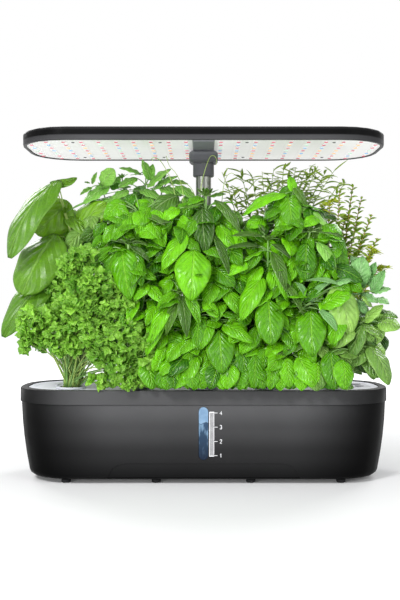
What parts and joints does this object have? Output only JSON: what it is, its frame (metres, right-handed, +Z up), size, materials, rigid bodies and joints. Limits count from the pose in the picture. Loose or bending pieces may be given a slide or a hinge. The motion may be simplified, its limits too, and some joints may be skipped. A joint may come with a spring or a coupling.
{
  "type": "countertop hydroponic garden",
  "caption": "Wide water tank with net cups of growing herbs, a level window and a flat grow lamp on a telescopic mast.",
  "frame": {"origin": "centre of the whole object's plan, on the surface that the feet stand on", "axes": "+X to the right seen from the front, +Y to the back, +Z up"},
  "size_m": [0.4367, 0.1995, 0.4],
  "materials": {
    "tank": "satin moulded charcoal plastic",
    "window": "clear moulded plastic with blue water behind it",
    "foot": "matt black rubber",
    "rim": "satin moulded charcoal plastic",
    "deck": "fine satin light grey plastic",
    "basket": "satin dark plastic",
    "sponge": "open brown growing sponge",
    "tube": "satin drawn tube",
    "hub": "fine matt mid grey plastic",
    "lamp": "satin dark grey plastic",
    "board": "white solder mask on an aluminium board, small light packages",
    "panel": "smooth light grey plastic",
    "button": "satin grey plastic",
    "circuit": "green circuit board",
    "inlet": "black moulded socket",
    "pump": "black moulded plastic",
    "impeller": "white moulded plastic",
    "leaf_basil": "bright smooth leaf with pale veins",
    "leaf_parsley": "ruffled yellow green leaf",
    "leaf_mint": "soft pale green leaf",
    "leaf_tarragon": "thin pale green leaf",
    "leaf_thyme": "small leaf on a brown stem"
  },
  "bodies": {
    "base": {"water_tank": "tank", "level_window": "window", "deck_rim": "rim", "deck_plate": "deck", "control_panel": "panel", "control_board": "circuit", "power_inlet": "inlet", "mast_socket": "hub", "lower_tube": "tube", "tube_collar": "hub", "pump_body": "pump", "pump_cover": "pump", "riser_pipe": "pump", "parsley": "leaf_parsley", "basil_front_left": "leaf_basil", "basil_front_middle": "leaf_basil", "basil_front_right": "leaf_basil", "basil_right_end": "leaf_basil", "basil_left_end": "leaf_basil", "mint": "leaf_mint", "lemon_balm": "leaf_mint", "tarragon": "leaf_tarragon", "thyme": "leaf_thyme", "foot_1": "foot", "foot_2": "foot", "foot_3": "foot", "foot_4": "foot", "foot_5": "foot", "foot_6": "foot", "foot_7": "foot", "foot_8": "foot", "pod_basket_1": "basket", "grow_sponge_1": "sponge", "pod_basket_2": "basket", "grow_sponge_2": "sponge", "pod_basket_3": "basket", "grow_sponge_3": "sponge", "pod_basket_4": "basket", "grow_sponge_4": "sponge", "pod_basket_5": "basket", "grow_sponge_5": "sponge", "pod_basket_6": "basket", "grow_sponge_6": "sponge", "pod_basket_7": "basket", "grow_sponge_7": "sponge", "pod_basket_8": "basket", "grow_sponge_8": "sponge", "pod_basket_9": "basket", "grow_sponge_9": "sponge", "pod_basket_10": "basket", "grow_sponge_10": "sponge"},
    "lamp": {"upper_tube": "tube", "lamp_hub": "hub", "lamp_cover": "lamp", "led_board": "board", "spine_cover": "hub"},
    "lid": {"refill_lid": "deck"},
    "power_key": {"power_button": "button"},
    "mode_key": {"mode_button": "button"},
    "rotor": {"impeller": "impeller"}
  },
  "joints": [
    {"name": "lamp_height", "type": "slide", "parent": "base", "child": "lamp", "axis": [0, 0, 1], "range_m": [-0.1, 0.02], "deforming": ["parsley", "basil_front_left", "basil_front_middle", "basil_front_right", "basil_right_end", "basil_left_end", "mint", "lemon_balm", "tarragon", "thyme"]},
    {"name": "refill_lid", "type": "hinge", "parent": "base", "child": "lid", "pos_m": [-0.19605, 0, 0.10405], "axis": [0, -1, 0], "range_deg": [0, 100]},
    {"name": "power_press", "type": "slide", "parent": "base", "child": "power_key", "axis": [0, 0, -1], "range_m": [0, 0.0008], "stiffness_N_per_m": 400},
    {"name": "mode_press", "type": "slide", "parent": "base", "child": "mode_key", "axis": [0, 0, -1], "range_m": [0, 0.0008], "stiffness_N_per_m": 400},
    {"name": "impeller_spin", "type": "hinge", "parent": "base", "child": "rotor", "pos_m": [0.169, 0, 0.0228], "axis": [1, 0, 0], "continuous": true}
  ]
}
